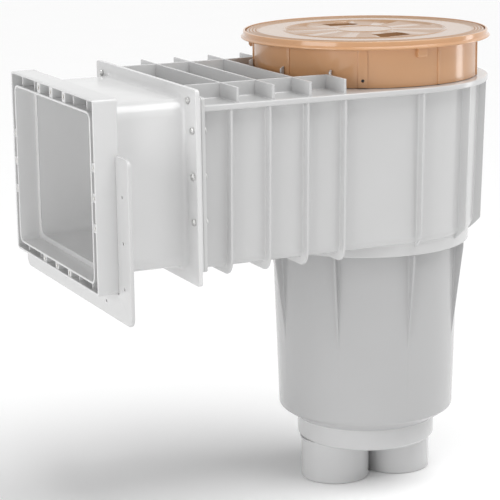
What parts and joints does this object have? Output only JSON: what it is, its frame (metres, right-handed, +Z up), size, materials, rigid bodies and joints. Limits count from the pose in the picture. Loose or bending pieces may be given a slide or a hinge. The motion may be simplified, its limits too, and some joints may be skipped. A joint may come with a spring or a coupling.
{
  "type": "in-ground pool skimmer",
  "caption": "In-ground pool skimmer: wide-mouth throat with wall flange, ribbed housing, basket well, twin bottom pipe sockets and a tan height-adjustable lid collar.",
  "frame": {"origin": "on the basket well's vertical axis, level with the underside of the collar's flange, where the pool deck's surface meets the collar", "axes": "+Z up along the well's axis; the throat runs along X and its mouth faces -X, into the pool"},
  "size_m": [0.494, 0.316, 0.4991],
  "materials": {
    "housing_plastic": "glossy white ABS moulding",
    "collar_plastic": "glossy tan ABS moulding",
    "basket_plastic": "satin white polypropylene",
    "fitting_plastic": "white ABS moulding",
    "seal_rubber": "black rubber",
    "stainless_steel": "stainless steel",
    "brass_insert": "plain brass",
    "float_foam": "closed-cell foam"
  },
  "bodies": {
    "housing": {"body_housing": "housing_plastic", "well_bowl": "housing_plastic", "port_base": "housing_plastic", "throat_extension": "housing_plastic", "mouth_frame": "housing_plastic", "wall_flange": "housing_plastic", "flange_gasket": "seal_rubber", "flange_screw_1": "stainless_steel", "flange_screw_2": "stainless_steel", "flange_screw_3": "stainless_steel", "flange_screw_4": "stainless_steel", "flange_screw_5": "stainless_steel", "flange_screw_6": "stainless_steel", "flange_screw_7": "stainless_steel", "flange_screw_8": "stainless_steel", "flange_nut_1": "stainless_steel", "flange_nut_2": "stainless_steel", "flange_nut_3": "stainless_steel", "flange_nut_4": "stainless_steel", "flange_nut_5": "stainless_steel", "flange_nut_6": "stainless_steel", "flange_nut_7": "stainless_steel", "flange_nut_8": "stainless_steel", "boss_insert_1": "brass_insert", "boss_insert_2": "brass_insert", "boss_insert_3": "brass_insert", "boss_insert_4": "brass_insert", "boss_insert_5": "brass_insert", "boss_insert_6": "brass_insert", "boss_insert_7": "brass_insert", "boss_insert_8": "brass_insert", "boss_insert_9": "brass_insert", "boss_insert_10": "brass_insert", "boss_insert_11": "brass_insert", "boss_insert_12": "brass_insert", "trimmer_screw": "stainless_steel", "weir_bracket_left": "fitting_plastic", "weir_bracket_right": "fitting_plastic", "weir_pin_left": "stainless_steel", "weir_pin_right": "stainless_steel", "weir_spring_left": "stainless_steel", "weir_spring_right": "stainless_steel"},
    "collar": {"collar": "collar_plastic", "height_sleeve": "housing_plastic", "set_screw_1": "stainless_steel", "set_screw_2": "stainless_steel", "set_screw_3": "stainless_steel"},
    "lid": {"lid": "collar_plastic"},
    "basket": {"basket": "basket_plastic"},
    "handle": {"basket_handle": "basket_plastic"},
    "weir": {"weir_door": "fitting_plastic", "weir_float": "float_foam", "weir_cover": "fitting_plastic"},
    "trimmer": {"trimmer_plate": "fitting_plastic"},
    "plug": {"port_plug": "fitting_plastic", "plug_oring": "seal_rubber"}
  },
  "joints": [
    {"name": "collar_height", "type": "slide", "parent": "housing", "child": "collar", "axis": [0, 0, 1], "range_m": [0, 0.03]},
    {"name": "lid_lift", "type": "slide", "parent": "collar", "child": "lid", "axis": [0, 0, 1], "range_m": [0, 0.1]},
    {"name": "basket_lift", "type": "slide", "parent": "housing", "child": "basket", "axis": [0, 0, 1], "range_m": [0, 0.165]},
    {"name": "handle_swing", "type": "hinge", "parent": "basket", "child": "handle", "pos_m": [0, 0, -0.1985], "axis": [0, 1, 0], "range_deg": [0, 180]},
    {"name": "weir_swing", "type": "hinge", "parent": "housing", "child": "weir", "pos_m": [-0.225, 0, -0.196], "axis": [0, 1, 0], "range_deg": [0, 78], "stiffness_Nm_per_rad": 0.25, "springref_deg": -22.92},
    {"name": "trimmer_turn", "type": "hinge", "parent": "housing", "child": "trimmer", "pos_m": [0, 0, -0.4117], "axis": [0, 0, 1], "range_deg": [0, 75]},
    {"name": "plug_lift", "type": "slide", "parent": "housing", "child": "plug", "axis": [0, 0, 1], "range_m": [0, 0.022]}
  ]
}
